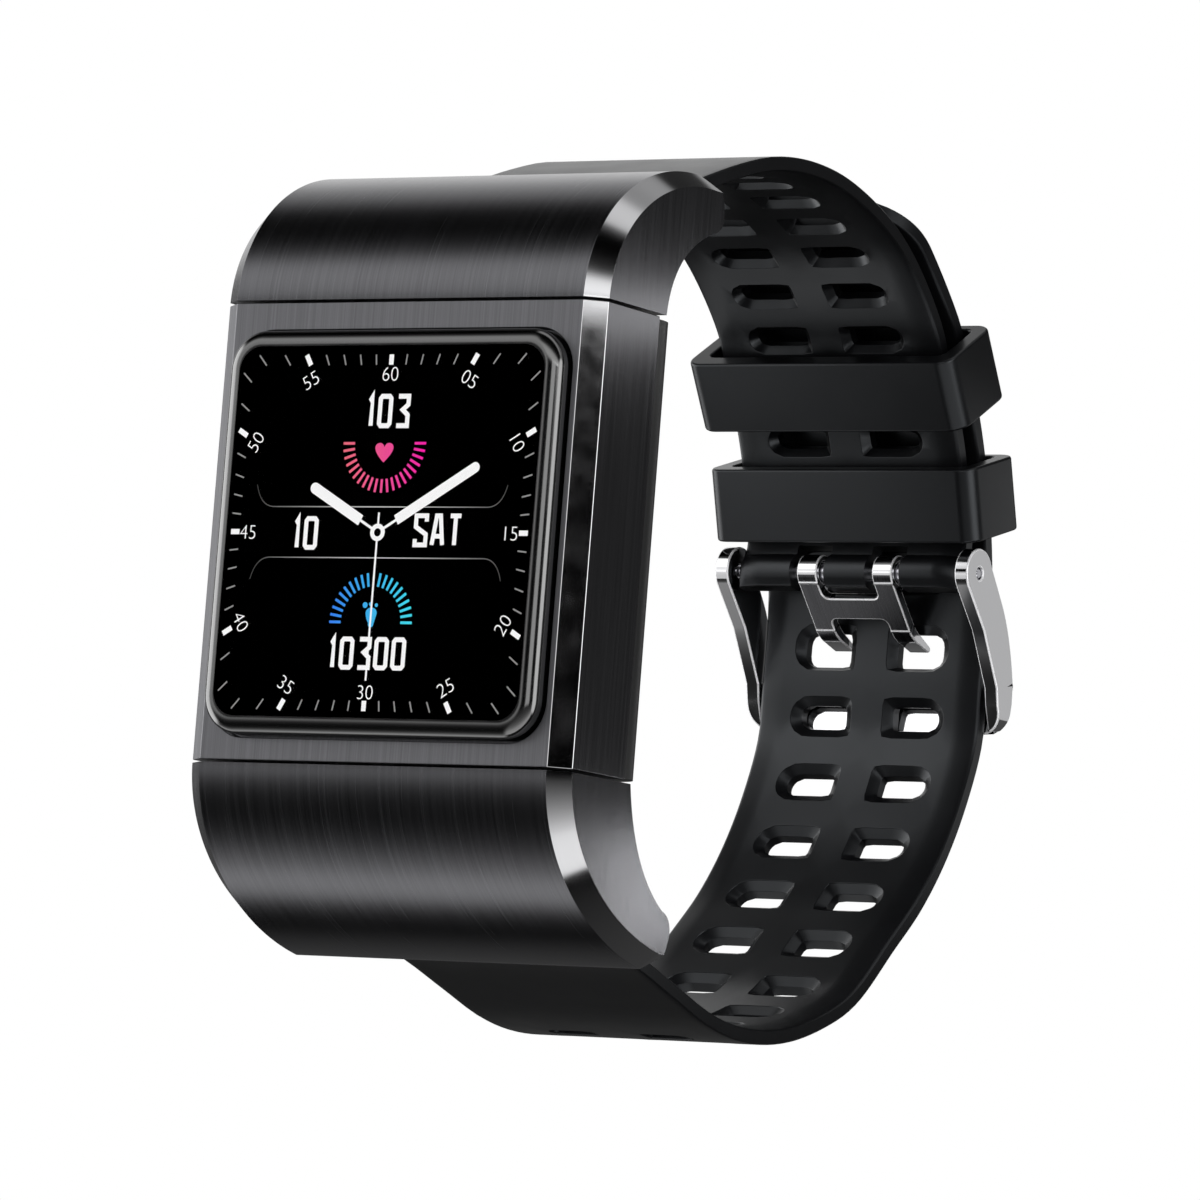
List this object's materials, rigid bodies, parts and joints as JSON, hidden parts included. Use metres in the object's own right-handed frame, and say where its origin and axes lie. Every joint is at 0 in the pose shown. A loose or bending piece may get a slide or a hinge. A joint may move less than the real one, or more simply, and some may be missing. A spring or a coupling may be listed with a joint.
{
  "type": "smartwatch",
  "caption": "Square smartwatch: metal case with curved end covers, glass display, and a perforated silicone strap closed by a two-prong buckle and two keepers.",
  "frame": {"origin": "centre of the sensor window's flat face, which rests on the wrist", "axes": "+Y out of the case back towards the wrist, so the display faces -Y; +Z to 12 o'clock; +X to 3 o'clock"},
  "size_m": [0.0346, 0.0754, 0.0699],
  "materials": {
    "gunmetal": "brushed, dark anodised, polished chamfers",
    "steel": "polished and brushed stainless steel",
    "screw_steel": "machined",
    "cover_glass": "black gloss glass with rounded edge",
    "display": "lit display panel",
    "gasket": "matt black foam",
    "silicone": "matt black silicone",
    "case_plastic": "black moulded plastic",
    "circuit_board": "green solder mask",
    "shield": "tinned steel",
    "battery_foil": "grey foil pouch",
    "sensor_glass": "dark tinted window",
    "gold": "gold-plated contact"
  },
  "bodies": {
    "watch": {"case_middle": "gunmetal", "upper_end_cover": "gunmetal", "lower_end_cover": "gunmetal", "upper_cover_screw_left": "screw_steel", "upper_cover_screw_right": "screw_steel", "lower_cover_screw_left": "screw_steel", "lower_cover_screw_right": "screw_steel", "cover_glass": "cover_glass", "display_gasket": "gasket", "display_panel": "display", "main_board": "circuit_board", "shield_can": "shield", "battery": "battery_foil", "vibration_motor_can": "shield", "vibration_motor_base": "shield", "case_back": "case_plastic", "case_back_seal": "gasket", "sensor_window": "sensor_glass", "sensor_board": "circuit_board", "charging_contact_left": "gold", "charging_contact_right": "gold", "back_screw_upper_left": "screw_steel", "back_screw_upper_right": "screw_steel", "back_screw_lower_left": "screw_steel", "back_screw_lower_right": "screw_steel", "strap_short": "silicone", "strap_long": "silicone", "upper_bar_tube": "steel", "lower_bar_tube": "steel", "buckle_bar_tube": "steel"},
    "motor_rotor": {"vibration_motor_rotor": "gold"},
    "keeper_upper": {"keeper_upper": "silicone"},
    "keeper_lower": {"keeper_lower": "silicone"},
    "buckle_frame": {"buckle_frame": "steel"},
    "buckle_tongue": {"buckle_tongue": "steel"},
    "upper_tip_left": {"upper_bar_tip_left": "steel"},
    "upper_tip_right": {"upper_bar_tip_right": "steel"},
    "lower_tip_left": {"lower_bar_tip_left": "steel"},
    "lower_tip_right": {"lower_bar_tip_right": "steel"},
    "buckle_tip_left": {"buckle_bar_tip_left": "steel"},
    "buckle_tip_right": {"buckle_bar_tip_right": "steel"}
  },
  "joints": [
    {"name": "buckle_frame_hinge", "type": "hinge", "parent": "watch", "child": "buckle_frame", "pos_m": [0, 0.0548, 0.0057], "axis": [1, 0, 0], "range_deg": [0, 75]},
    {"name": "buckle_tongue_hinge", "type": "hinge", "parent": "watch", "child": "buckle_tongue", "pos_m": [0, 0.0548, 0.0057], "axis": [1, 0, 0], "range_deg": [-100, 0]},
    {"name": "keeper_upper_slide", "type": "hinge", "parent": "watch", "child": "keeper_upper", "pos_m": [0, 0.0162, -0.0004], "axis": [1, 0, 0], "range_deg": [-1.5, 3.5]},
    {"name": "keeper_lower_slide", "type": "hinge", "parent": "watch", "child": "keeper_lower", "pos_m": [0, 0.0162, -0.0004], "axis": [1, 0, 0], "range_deg": [0, 3.5]},
    {"name": "vibration_motor_spin", "type": "hinge", "parent": "watch", "child": "motor_rotor", "pos_m": [-0.0055, -0.0063, 0.0093], "axis": [0, 1, 0], "continuous": true},
    {"name": "upper_tip_left_slide", "type": "slide", "parent": "watch", "child": "upper_tip_left", "axis": [1, 0, 0], "range_m": [0, 0.0014], "stiffness_N_per_m": 800, "springref_m": -0.001},
    {"name": "upper_tip_right_slide", "type": "slide", "parent": "watch", "child": "upper_tip_right", "axis": [-1, 0, 0], "range_m": [0, 0.0014], "stiffness_N_per_m": 800, "springref_m": -0.001},
    {"name": "lower_tip_left_slide", "type": "slide", "parent": "watch", "child": "lower_tip_left", "axis": [1, 0, 0], "range_m": [0, 0.0014], "stiffness_N_per_m": 800, "springref_m": -0.001},
    {"name": "lower_tip_right_slide", "type": "slide", "parent": "watch", "child": "lower_tip_right", "axis": [-1, 0, 0], "range_m": [0, 0.0014], "stiffness_N_per_m": 800, "springref_m": -0.001},
    {"name": "buckle_tip_left_slide", "type": "slide", "parent": "watch", "child": "buckle_tip_left", "axis": [1, 0, 0], "range_m": [0, 0.0014], "stiffness_N_per_m": 800, "springref_m": -0.001},
    {"name": "buckle_tip_right_slide", "type": "slide", "parent": "watch", "child": "buckle_tip_right", "axis": [-1, 0, 0], "range_m": [0, 0.0014], "stiffness_N_per_m": 800, "springref_m": -0.001}
  ]
}
